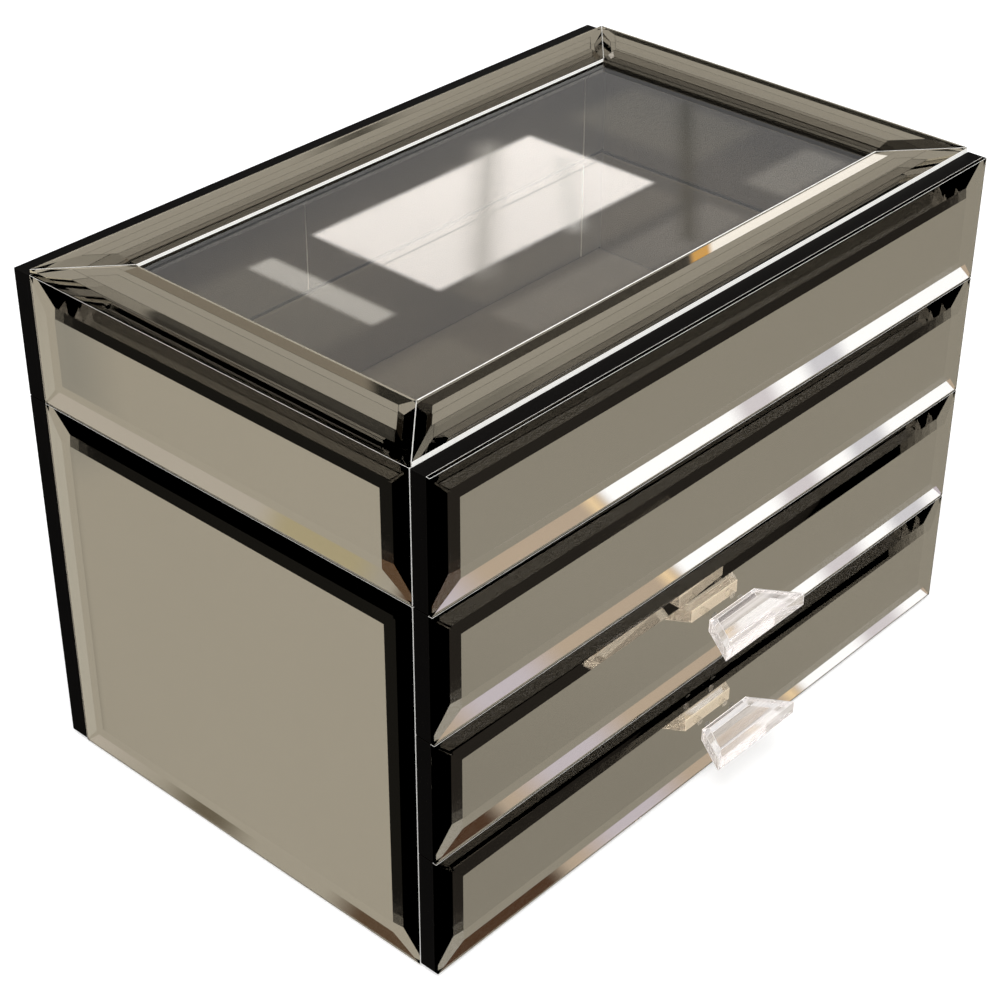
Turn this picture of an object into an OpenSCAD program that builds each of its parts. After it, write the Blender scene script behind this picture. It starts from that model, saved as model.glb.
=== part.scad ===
// Mirror-clad vanity box: a lined case with two drawers under a hinged lid that has a glass window.
// Bevelled tinted mirrors are glued over black boards on the front, the sides and the top frame.
// Millimetres, +Z up. The origin is on the table, under the middle of the case; the front faces -Y.

/* [Case] */
// Width across the front panels, from glass edge to glass edge
case_w = 300; // [260:1:340]
// Depth from the front glass edges to the outside of the back panel
case_d = 195.6; // [180:0.1:230]
// Height of one of the four equal courses: two drawers, the fixed front and the lid
course_h = 50.15; // [47:0.05:60]
// Gap between two panels one above the other
panel_gap = 0.5; // [0.3:0.1:0.9]
// How far the front and back panels stop above the bottom of the sides
panel_lift = 0.75; // [0.3:0.05:1.5]

/* [Boards] */
// Thickness of the black board behind each front mirror
panel_board_t = 6.5; // [5:0.1:8]
// Thickness of the black back panel
back_panel_t = 8.1; // [7:0.1:9]
// Thickness of the side boards
side_board_t = 9; // [7:0.5:11]
// Thickness of the rail behind the fixed front and behind the lid's front
front_rail_t = 8; // [6:0.5:10]
// Thickness of the back rails, inside the back panel
back_rail_t = 10; // [7:0.5:12]
// Thickness of the compartment floor and of the divider between the drawers
shelf_t = 5; // [4:0.5:6]
// Thickness of the base board
base_t = 6; // [4:0.5:8]
// Clearance between the case and the moving fronts
slide_gap = 0.2; // [0.1:0.05:0.4]

/* [Mirror glass] */
// Thickness of the mirror glass
glass_t = 4; // [3:0.1:5]
// Thickness left at the ground edge of the mirror glass
glass_edge = 1.6; // [1.2:0.1:2.2]
// Width of the bevel on the front and side mirrors
bevel_w = 10.2; // [6:0.1:12]
// Gap between a side mirror and the front or back panel
mirror_gap = 0.4; // [0.2:0.1:0.8]

/* [Top frame] */
// Thickness of the four mirror strips round the window
strip_t = 3.8; // [3:0.1:5]
// Thickness left at the ground edges of the strips
strip_edge = 1.9; // [1.4:0.1:2.4]
// Width of the left and right strips
side_strip_w = 26.5; // [22:0.5:34]
// Width of the front and back strips
end_strip_w = 23.5; // [20:0.5:30]
// Bevel width along the long edges of a strip
strip_bevel = 7.8; // [5:0.1:9]
// Bevel width along the mitred ends of a strip
mitre_bevel = 5; // [3:0.1:6]
// Gap between two strips at a mitre
mitre_gap = 0.2; // [0.1:0.05:0.5]
// How far the strips stop inside the width of the front panel, at each side
strip_inset = 0.6; // [0:0.1:1]
// Thickness of the lid's top board
top_board_t = 5.8; // [4.5:0.1:8]
// Thickness of the window pane
pane_t = 3; // [2:0.5:4]
// How far the pane reaches under the mirror strips
pane_lap = 6; // [5:0.5:7]

/* [Linings] */
// Thickness of the velvet lining of the walls
lining_t = 2; // [1:0.5:2.5]
// Thickness of the partitions in the top compartment
partition_t = 3; // [2:0.5:4]
// Height of the partitions
partition_h = 31; // [20:1:36]
// Place of the long partition, behind the middle of the case
partition_y = -12; // [-25:1:10]
// Number of short partitions in front of the long one
partitions = 3; // [1:1:4]

/* [Drawers] */
// Room above the lower drawer box; both drawer boxes have the same height
drawer_headroom = 3; // [2:0.5:8]
// Thickness of a drawer's sides and back
drawer_wall = 6; // [5:0.5:8]
// Thickness of a drawer's bottom
drawer_bottom_t = 3; // [2:0.5:4]
// Clearance beside a drawer
drawer_gap = 0.8; // [0.5:0.1:1.2]
// Thickness of a drawer's lining
drawer_lining_t = 1.5; // [1:0.5:2]
// Height of the waxed runners
runner_t = 1.2; // [0.8:0.1:1.6]

/* [Handles] */
// Length of a handle along its front edge
handle_w = 46.2; // [40:0.2:54]
// Length of a handle along its back edge
handle_root_w = 26.5; // [24:0.5:30]
// Depth of a handle, from its back face to its front face
handle_d = 15.3; // [13:0.1:20]
// Thickness of a handle
handle_t = 7.5; // [6.5:0.1:9]
// Width of the cut round its upper and lower faces
handle_cut_w = 2.3; // [1.5:0.1:2.8]
// Depth of that cut
handle_cut_d = 1.2; // [0.8:0.1:1.6]
// Space between a handle and the mirror, taken up by two clear collars
collar_t = 2.35; // [1.5:0.05:4]
// Distance between the two collars of a handle
collar_pitch = 15; // [12:0.5:16]

/* [Hinges] */
// Distance between the middles of the two hinges
hinge_pitch = 180; // [140:1:200]
// Length of a hinge
hinge_l = 30; // [24:1:36]
// Height of a leaf, from the pin's axis
leaf_h = 16; // [14:0.5:20]
// Thickness of a leaf
leaf_t = 1; // [0.8:0.1:1.2]
// Outer radius of a knuckle
knuckle_r = 2.4; // [2.2:0.1:3]
// Radius of a pin
pin_r = 1.2; // [1:0.05:1.3]
// Running clearance of a pin in the lid's knuckles
pin_clearance = 0.05; // [0.02:0.01:0.09]

/* [Felt base] */
// Thickness of the felt sheet under the case
felt_t = 1; // [0.8:0.1:3]
// How far the sheet stops inside the outline of the boards
felt_inset = 3; // [1:0.5:8]

/* [Hidden] */
$fn = 48;
lacquer = "#15130f";
inner_black = "#24211c";
mirror_tint = "#8a8472";
top_tint = "#8f8979";
pane_tint = "#c9cdc8";
crystal = "#f2f4f5";
velvet = "#6f6b62";
bare_wood = "#3a332b";
steel = "#b9b9b6";
felt = "#1c1b1a";

// Planes of the case, from the outside in
half_w = case_w / 2;
y_front = -case_d / 2;
y_back = case_d / 2;
y_silver = y_front + glass_edge;
y_core = y_silver + panel_board_t;
y_core_back = y_back - back_panel_t;
y_well_front = y_core + front_rail_t;
y_well_back = y_core_back - back_rail_t;
x_core = half_w - glass_edge;
x_well = x_core - side_board_t;
glass_rise = glass_t - glass_edge;

// Levels, from the table up
z_base = felt_t;
z_panels = z_base + panel_lift;
function z_course(k) = z_panels + k * course_h;
z_seam = z_course(3);
z_rim = z_seam - panel_gap / 2;
z_lid = z_seam + panel_gap / 2;
z_top = z_course(4);
z_under_top = z_top - top_board_t;
z_divider = z_course(1) - shelf_t / 2;
z_floor = z_course(2) - shelf_t / 2;
z_well = z_floor + shelf_t;
z_pane = z_top - pane_t;

// Window in the top frame
strip_x = half_w - strip_inset;
window_x = strip_x - side_strip_w;
window_y = -y_core - end_strip_w;
rebate_gap = 0.2;
outer_corners = [
  [-strip_x, y_core], [strip_x, y_core], [strip_x, y_core_back], [-strip_x, y_core_back]
];
window_corners = [
  [-window_x, -window_y], [window_x, -window_y], [window_x, window_y], [-window_x, window_y]
];

// Drawer boxes: drawer 0 is the lower one
lift = 0.2;
function z_bay(k) = k == 0 ? z_base + base_t : z_divider + shelf_t;
function z_drawer(k) = z_bay(k) + runner_t + lift;
function z_handle(k) = z_course(k) + course_h / 2;
drawer_h = z_divider - drawer_headroom - z_drawer(0);
drawer_x = x_well - drawer_gap;
drawer_in_x = drawer_x - drawer_wall;
drawer_back_room = 2;
drawer_end = y_well_back - drawer_back_room;
runner_w = drawer_wall + 2;
runner_end_gap = 6;
drawer_in_end = drawer_end - drawer_wall;
drawer_recess = 2;
lining_drop = 2;

// Handles
y_flat = y_front - glass_rise;
y_handle = y_flat - collar_t;
collar_r = 1.6;

// Hinges
hinge_y = y_back + knuckle_r;
knuckle_gap = 0.3;
mid_knuckle = hinge_l / 3;
leaf_clear = knuckle_r + knuckle_gap;
leaf_screw_r = 1.1;
leaf_screw_l = 6;
leaf_head_r = 2.1;
leaf_head_t = 0.7;
leaf_hole_r = leaf_screw_r + 0.1;
leaf_screw_x = hinge_l * 0.3;
leaf_screw_z = leaf_h * 0.62;
side_knuckle = (hinge_l - mid_knuckle) / 2 - knuckle_gap;
stop_l = 6.2;
stop_t = 1;
button_r = pin_r + 0.6;
button_t = 0.8;

// Box between two opposite corners
module board(low, high) {
  translate(low) cube(high - low);
}

// Box with an upright shaft of the size of its second pair of corners left open
module ring(low, high, hole_low, hole_high) {
  difference() {
    board(low, high);
    board([hole_low[0], hole_low[1], low[2] - 1], [hole_high[0], hole_high[1], high[2] + 1]);
  }
}

// Plate on a convex outline, listed anticlockwise, whose upper rim is ground along every edge.
// bevels gives the width of each edge's bevel, and insets how far the edge is drawn in.
module ground_plate(outline, thickness, edge, bevels, insets) {
  reach = 2 * case_w;
  sides = len(outline);
  intersection_for (i = [0 : sides - 1]) {
    start = outline[i];
    run = outline[(i + 1) % sides] - start;
    profile = [
      [insets[i], 0], [reach, 0], [reach, thickness],
      [insets[i] + bevels[i], thickness], [insets[i], edge]
    ];
    translate([start[0], start[1], 0])
      rotate([0, 0, atan2(run[1], run[0])])
        translate([-reach, 0, 0])
          rotate([90, 0, 90]) linear_extrude(2 * reach) polygon(profile);
  }
}

// Rectangular mirror with the same bevel on all four edges, face up
module bevelled_mirror(w, h) {
  corners = [[0, 0], [w, 0], [w, h], [0, h]];
  same = [bevel_w, bevel_w, bevel_w, bevel_w];
  ground_plate(corners, glass_t, glass_edge, same, [0, 0, 0, 0]);
}

// Front mirror of one course, its back on the board
module front_mirror(z_low, z_high) {
  translate([-half_w, y_silver, z_low]) rotate([90, 0, 0]) bevelled_mirror(case_w, z_high - z_low);
}

// Left mirror between two levels
module left_mirror(z_low, z_high) {
  y_low = y_core + mirror_gap;
  depth = y_core_back - mirror_gap - y_low;
  translate([-x_core, y_low + depth, z_low])
    rotate([90, 0, -90]) bevelled_mirror(depth, z_high - z_low);
}

module right_mirror(z_low, z_high) {
  mirror([1, 0, 0]) left_mirror(z_low, z_high);
}

// One strip of the top frame: two corners of the outside, then the two of the window
module top_mirror(outline) {
  cut = mitre_gap / 2;
  translate([0, 0, z_top])
    ground_plate(outline, strip_t, strip_edge,
      [strip_bevel, mitre_bevel, strip_bevel, mitre_bevel], [0, cut, 0, cut]);
}

// Screw that points to +Z, with its head below the origin
module screw(shank_r, shank_l, cap_r, cap_t) {
  union() {
    cylinder(r = shank_r, h = shank_l);
    translate([0, 0, -cap_t]) cylinder(r = cap_r, h = cap_t);
  }
}

// Case

module base_board() {
  color(inner_black)
    board([-x_well, y_core + slide_gap, z_base], [x_well, y_well_back, z_base + base_t]);
}

module side_board(low, high) {
  board([-x_core, y_core + slide_gap, low], [-x_well, y_core_back, high]);
}

module left_side_board() {
  color(lacquer) side_board(z_base, z_rim);
}

module right_side_board() {
  color(lacquer) mirror([1, 0, 0]) side_board(z_base, z_rim);
}

module back_rail() {
  color(inner_black) board([-x_well, y_well_back, z_base], [x_well, y_core_back, z_rim]);
}

module back_panel() {
  color(lacquer) difference() {
    board([-half_w, y_core_back, z_panels], [half_w, y_back, z_rim]);
    leaf_holes(leaf_screw_r, -1);
  }
}

module compartment_floor() {
  color(inner_black)
    board([-x_well, y_core + slide_gap, z_floor], [x_well, y_well_back, z_well]);
}

module drawer_divider() {
  color(inner_black)
    board([-x_well, y_core + slide_gap, z_divider], [x_well, y_well_back, z_divider + shelf_t]);
}

module front_rail() {
  color(inner_black) board([-x_well, y_core, z_well], [x_well, y_well_front, z_rim]);
}

module fixed_front_board() {
  color(lacquer)
    board([-half_w, y_silver, z_course(2) + panel_gap / 2], [half_w, y_core, z_rim]);
}

module fixed_front_mirror() {
  color(mirror_tint) front_mirror(z_course(2) + panel_gap / 2, z_rim);
}

module left_case_mirror() {
  color(mirror_tint) left_mirror(z_base, z_rim);
}

module right_case_mirror() {
  color(mirror_tint) right_mirror(z_base, z_rim);
}

module well_lining(low, high) {
  ring([-x_well, y_well_front, low], [x_well, y_well_back, high],
    [-x_well + lining_t, y_well_front + lining_t], [x_well - lining_t, y_well_back - lining_t]);
}

module compartment_wall_lining() {
  color(velvet) well_lining(z_well + lining_t, z_rim - panel_gap);
}

module compartment_floor_lining() {
  color(velvet)
    board([-x_well, y_well_front, z_well], [x_well, y_well_back, z_well + lining_t]);
}

module long_partition() {
  color(velvet)
    board([-x_well + lining_t, partition_y, z_well + lining_t],
      [x_well - lining_t, partition_y + partition_t, z_well + lining_t + partition_h]);
}

module short_partitions() {
  pitch = 2 * (x_well - lining_t) / (partitions + 1);
  color(velvet) for (i = [1 : partitions])
    translate([-x_well + lining_t + i * pitch - partition_t / 2, 0, 0])
      board([0, y_well_front + lining_t, z_well + lining_t],
        [partition_t, partition_y, z_well + lining_t + partition_h]);
}

// Two waxed strips under each drawer's sides
module drawer_runners() {
  y_low = y_core + runner_end_gap;
  y_high = drawer_end - runner_end_gap;
  color(bare_wood) for (side = [-1, 1], k = [0, 1])
    translate([side * (drawer_x - runner_w / 2), 0, z_bay(k)])
      board([-runner_w / 2, y_low, 0], [runner_w / 2, y_high, runner_t]);
}

module felt_base() {
  x = x_core - felt_inset;
  color(felt) board([-x, y_core + felt_inset, 0], [x, y_core_back - felt_inset, felt_t]);
}

// Lid

module lid_front_rail() {
  color(inner_black) board([-x_well, y_core, z_lid], [x_well, y_well_front, z_under_top]);
}

module lid_side(side) {
  board([side * (x_core + x_well) / 2 - side_board_t / 2, y_core, z_lid],
    [side * (x_core + x_well) / 2 + side_board_t / 2, y_core_back, z_under_top]);
}

module lid_left_board() {
  color(lacquer) lid_side(-1);
}

module lid_right_board() {
  color(lacquer) lid_side(1);
}

module lid_back_rail() {
  color(inner_black) board([-x_well, y_well_back, z_lid], [x_well, y_core_back, z_under_top]);
}

module lid_front_board() {
  color(lacquer) board([-half_w, y_silver, z_lid], [half_w, y_core, z_top]);
}

module lid_front_mirror() {
  color(mirror_tint) front_mirror(z_lid, z_top);
}

module lid_back_panel() {
  color(lacquer) difference() {
    board([-half_w, y_core_back, z_lid], [half_w, y_back, z_top]);
    leaf_holes(leaf_screw_r, 1);
  }
}

// The board's upper half is rebated round the window, and the pane lies in that rebate
module lid_top_board() {
  rebate_x = window_x + pane_lap + rebate_gap;
  rebate_y = window_y + pane_lap + rebate_gap;
  color(lacquer) difference() {
    ring([-x_core, y_core, z_under_top], [x_core, y_core_back, z_top],
      [-window_x, -window_y], [window_x, window_y]);
    board([-rebate_x, -rebate_y, z_pane], [rebate_x, rebate_y, z_top + 1]);
  }
}

module lid_left_mirror() {
  color(mirror_tint) left_mirror(z_lid, z_top);
}

module lid_right_mirror() {
  color(mirror_tint) right_mirror(z_lid, z_top);
}

// Outline of a strip, by corners that run anticlockwise from the front left
function strip_outline(i) =
  let (j = (i + 1) % 4) [outer_corners[i], outer_corners[j], window_corners[j], window_corners[i]];

module front_top_mirror() {
  color(top_tint) top_mirror(strip_outline(0));
}

module right_top_mirror() {
  color(top_tint) top_mirror(strip_outline(1));
}

module back_top_mirror() {
  color(top_tint) top_mirror(strip_outline(2));
}

module left_top_mirror() {
  color(top_tint) top_mirror(strip_outline(3));
}

module window_pane() {
  x = window_x + pane_lap;
  y = window_y + pane_lap;
  color(pane_tint, 0.4) board([-x, -y, z_pane], [x, y, z_top]);
}

module lid_lining() {
  color(velvet) well_lining(z_lid + panel_gap, z_under_top);
}

// Drawers

module drawer_front(k) {
  color(lacquer)
    board([-half_w, y_silver, z_course(k) + panel_gap / 2],
      [half_w, y_core, z_course(k + 1) - panel_gap / 2]);
}

module drawer_mirror(k) {
  color(mirror_tint) front_mirror(z_course(k) + panel_gap / 2, z_course(k + 1) - panel_gap / 2);
}

module drawer_sides(k) {
  color(bare_wood) for (side = [-1, 1])
    translate([side * (drawer_x - drawer_wall / 2), 0, z_drawer(k)])
      board([-drawer_wall / 2, y_core, 0], [drawer_wall / 2, drawer_end, drawer_h]);
}

module drawer_back(k) {
  color(bare_wood) translate([0, 0, z_drawer(k)])
    board([-drawer_in_x, drawer_in_end, 0], [drawer_in_x, drawer_end, drawer_h]);
}

module drawer_bottom(k) {
  color(bare_wood) translate([0, 0, z_drawer(k) + drawer_recess])
    board([-drawer_in_x, y_core, 0], [drawer_in_x, drawer_in_end, drawer_bottom_t]);
}

// Velvet tray on the bottom and up the walls
module drawer_lining(k) {
  low = z_drawer(k) + drawer_recess + drawer_bottom_t;
  t = drawer_lining_t;
  color(velvet) difference() {
    board([-drawer_in_x, y_core, low], [drawer_in_x, drawer_in_end, z_drawer(k) + drawer_h - lining_drop]);
    board([t - drawer_in_x, y_core + t, low + t],
      [drawer_in_x - t, drawer_in_end - t, z_drawer(k) + drawer_h]);
  }
}

// Clear bar, wider at the front, with a cut round its upper and lower faces
module handle(k) {
  root = handle_root_w / 2;
  tip = handle_w / 2;
  outline = [
    [-tip, y_handle - handle_d], [tip, y_handle - handle_d], [root, y_handle], [-root, y_handle]
  ];
  cuts = [handle_cut_w, handle_cut_w, handle_cut_w, handle_cut_w];
  half_t = handle_t / 2;
  color(crystal, 0.5) translate([0, 0, z_handle(k)]) union() {
    ground_plate(outline, half_t, half_t - handle_cut_d, cuts, [0, 0, 0, 0]);
    mirror([0, 0, 1]) ground_plate(outline, half_t, half_t - handle_cut_d, cuts, [0, 0, 0, 0]);
  }
}

// Clear discs that bond a handle to its mirror
module handle_collars(k) {
  color(crystal, 0.5) for (side = [-1, 1])
    translate([side * collar_pitch / 2, y_flat, z_handle(k)])
      rotate([90, 0, 0]) cylinder(r = collar_r, h = collar_t);
}

// Hinges: each is drawn about the pin's axis, which runs along X

module at_hinges() {
  for (side = [-1, 1]) translate([side * hinge_pitch / 2, hinge_y, z_seam]) children();
}

module knuckle(length, bore_r) {
  rotate([0, 90, 0]) difference() {
    cylinder(r = knuckle_r, h = length, center = true);
    cylinder(r = bore_r, h = length + 2, center = true);
  }
}

module leaf_screw_places(up) {
  at_hinges() for (side = [-1, 1])
    translate([side * leaf_screw_x, leaf_t - knuckle_r, up * leaf_screw_z]) children();
}

module leaf_holes(r, up) {
  leaf_screw_places(up) rotate([90, 0, 0]) cylinder(r = r, h = 2 * leaf_screw_l, center = true);
}

// Plate of a leaf with one tab per knuckle; up is 1 for the lid's and -1 for the case's
module leaf(up, tabs) {
  low = min(up * leaf_clear, up * leaf_h);
  tab_low = min(0, up * leaf_clear);
  y_out = leaf_t - knuckle_r;
  union() {
    board([-hinge_l / 2, -knuckle_r, low], [hinge_l / 2, y_out, low + leaf_h - leaf_clear]);
    for (tab = tabs)
      board([tab[0], -knuckle_r, tab_low], [tab[1], y_out, tab_low + leaf_clear]);
  }
}

module hinge_case_leaves() {
  color(steel) difference() {
    at_hinges() difference() {
      union() {
        leaf(-1, [[-mid_knuckle / 2, mid_knuckle / 2]]);
        knuckle(mid_knuckle, pin_r);
      }
      rotate([0, 90, 0]) cylinder(r = pin_r, h = hinge_l, center = true);
    }
    leaf_holes(leaf_hole_r, -1);
  }
}

// The tail behind each lid knuckle meets the case leaf and stops the lid
module hinge_lid_leaves() {
  end = hinge_l / 2;
  color(steel) difference() {
    at_hinges() difference() {
      union() {
        leaf(1, [[-end, side_knuckle - end], [end - side_knuckle, end]]);
        for (side = [-1, 1]) translate([side * (end - side_knuckle / 2), 0, 0]) {
          knuckle(side_knuckle, pin_r + pin_clearance);
          board([-side_knuckle / 2, pin_r, -stop_t / 2], [side_knuckle / 2, stop_l, stop_t / 2]);
        }
      }
      rotate([0, 90, 0]) cylinder(r = pin_r + pin_clearance, h = hinge_l + 2, center = true);
    }
    leaf_holes(leaf_hole_r, 1);
  }
}

module hinge_pins() {
  color(steel) at_hinges() rotate([0, 90, 0]) union() {
    cylinder(r = pin_r, h = hinge_l + 2 * knuckle_gap, center = true);
    for (side = [0, 1]) mirror([0, 0, side])
      translate([0, 0, hinge_l / 2 + knuckle_gap]) cylinder(r = button_r, h = button_t);
  }
}

module leaf_screws(up) {
  leaf_screw_places(up) rotate([90, 0, 0]) screw(leaf_screw_r, leaf_screw_l, leaf_head_r, leaf_head_t);
}

module hinge_case_screws() {
  color(steel) leaf_screws(-1);
}

module hinge_lid_screws() {
  color(steel) leaf_screws(1);
}

base_board();
left_side_board();
right_side_board();
back_rail();
back_panel();
compartment_floor();
drawer_divider();
front_rail();
fixed_front_board();
fixed_front_mirror();
left_case_mirror();
right_case_mirror();
compartment_wall_lining();
compartment_floor_lining();
long_partition();
short_partitions();
drawer_runners();
felt_base();
hinge_case_leaves();
hinge_pins();
hinge_case_screws();
lid_front_rail();
lid_left_board();
lid_right_board();
lid_back_rail();
lid_front_board();
lid_front_mirror();
lid_back_panel();
lid_top_board();
lid_left_mirror();
lid_right_mirror();
front_top_mirror();
back_top_mirror();
left_top_mirror();
right_top_mirror();
window_pane();
lid_lining();
hinge_lid_leaves();
hinge_lid_screws();
drawer_front(1);  // upper_drawer_front
drawer_mirror(1);  // upper_drawer_mirror
drawer_sides(1);  // upper_drawer_sides
drawer_back(1);  // upper_drawer_back
drawer_bottom(1);  // upper_drawer_bottom
drawer_lining(1);  // upper_drawer_lining
handle(1);  // upper_handle
handle_collars(1);  // upper_handle_collars
drawer_front(0);  // lower_drawer_front
drawer_mirror(0);  // lower_drawer_mirror
drawer_sides(0);  // lower_drawer_sides
drawer_back(0);  // lower_drawer_back
drawer_bottom(0);  // lower_drawer_bottom
drawer_lining(0);  // lower_drawer_lining
handle(0);  // lower_handle
handle_collars(0);  // lower_handle_collars
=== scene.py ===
# %% [markdown]
# # A mirror-clad vanity box
# The real box is made of black boards, and bevelled mirror glass is glued over every outer side. This lesson
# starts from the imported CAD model, which already holds each board, glass, hinge and handle at its real size.
# Blender gives every piece its finish, and adds what the CAD model leaves out: the silvering, the soft linings
# and the seams. All lengths are in metres, with the origin on the table under the middle of the case.

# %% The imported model
import bpy
import bmesh
import math
from mathutils import Matrix, Vector, noise


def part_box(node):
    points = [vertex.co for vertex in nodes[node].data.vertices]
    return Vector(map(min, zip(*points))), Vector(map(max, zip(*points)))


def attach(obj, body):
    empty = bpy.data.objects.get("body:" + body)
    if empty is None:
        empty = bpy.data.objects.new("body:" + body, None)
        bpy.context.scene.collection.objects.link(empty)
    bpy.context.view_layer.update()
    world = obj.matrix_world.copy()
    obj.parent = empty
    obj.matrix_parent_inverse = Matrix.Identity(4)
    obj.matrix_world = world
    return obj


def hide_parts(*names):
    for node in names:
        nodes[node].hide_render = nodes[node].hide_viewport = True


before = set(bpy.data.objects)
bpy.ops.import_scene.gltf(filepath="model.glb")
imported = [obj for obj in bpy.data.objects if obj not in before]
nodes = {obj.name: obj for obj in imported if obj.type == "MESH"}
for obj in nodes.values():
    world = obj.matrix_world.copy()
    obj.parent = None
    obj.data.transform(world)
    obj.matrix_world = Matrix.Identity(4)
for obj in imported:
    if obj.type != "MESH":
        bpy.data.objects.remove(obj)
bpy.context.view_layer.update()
scene = bpy.context.scene
scene.view_settings.view_transform = "Standard"
MM = 0.001

# %% [markdown]
# ## The camera
# The box's corners in the photograph fix the camera: a long lens, a little over half a metre away in each
# direction, that looks down at the near corner. Its three axes are written as vectors, because a matrix of
# them says exactly how the camera stands, roll included.

# %% Camera
CAMERA_AT = Vector((-0.54588, -0.48447, 0.55909))
turn, tilt, roll = (math.radians(a) for a in (47.791, 33.355, 0.200))
looking = Vector((math.sin(turn) * math.cos(tilt), math.cos(turn) * math.cos(tilt), -math.sin(tilt)))
sideways = Vector((math.cos(turn), -math.sin(turn), 0))
upward = sideways.cross(looking)
right = math.cos(roll) * sideways + math.sin(roll) * upward
upward = math.cos(roll) * upward - math.sin(roll) * sideways
camera = bpy.data.objects.new("camera", bpy.data.cameras.new("camera"))
camera.matrix_world = Matrix.Translation(CAMERA_AT) @ Matrix((right, upward, -looking)).transposed().to_4x4()
camera.data.sensor_width = 36
camera.data.lens = 81.42
camera.data.clip_start = 0.05
scene.collection.objects.link(camera)
scene.camera = camera
print("camera looks", [round(v, 3) for v in looking], "lens", camera.data.lens)

# %% [markdown]
# ## Two helpers for materials
# Colours are written as sRGB hex values, as a paint chart gives them, and one function turns them into the
# linear values that a renderer adds up. A second function adds a node with its settings and its links, so
# that a material reads as a short list of steps.

# %% Colours and nodes
def linear(code):
    parts = [int(code[i:i + 2], 16) / 255 for i in (1, 3, 5)]
    return tuple(p / 12.92 if p <= 0.04045 else ((p + 0.055) / 1.055) ** 2.4 for p in parts) + (1,)


def add(tree, kind, inputs={}, **settings):
    """A new node; inputs are values or the sockets to link."""
    made = tree.nodes.new("ShaderNode" + kind)
    for name, value in settings.items():
        setattr(made, name, value)
    for name, value in inputs.items():
        if isinstance(value, bpy.types.NodeSocket):
            tree.links.new(value, made.inputs[name])
        else:
            made.inputs[name].default_value = value
    return made


def start_material(name):
    """An empty material: its tree, and the object's own coordinates in metres."""
    material = bpy.data.materials.new(name)
    material.use_nodes = True
    tree = material.node_tree
    tree.nodes.clear()
    return material, tree, add(tree, "TexCoord").outputs["Object"]


print("helpers ready; mid grey is", [round(v, 3) for v in linear("#808080")])

# %% [markdown]
# ## The mirror glass
# A bevelled mirror is a sheet of float glass with its front edges ground to a slope and its back silvered.
# A single shiny surface would show one reflection. Real bevels show several bands, because a ray can go in
# through the flat and out through the bevel, or be caught inside. So the glass here is the CAD solid as
# clear glass, and the silver is a separate film behind it: the bands then come by themselves.

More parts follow.
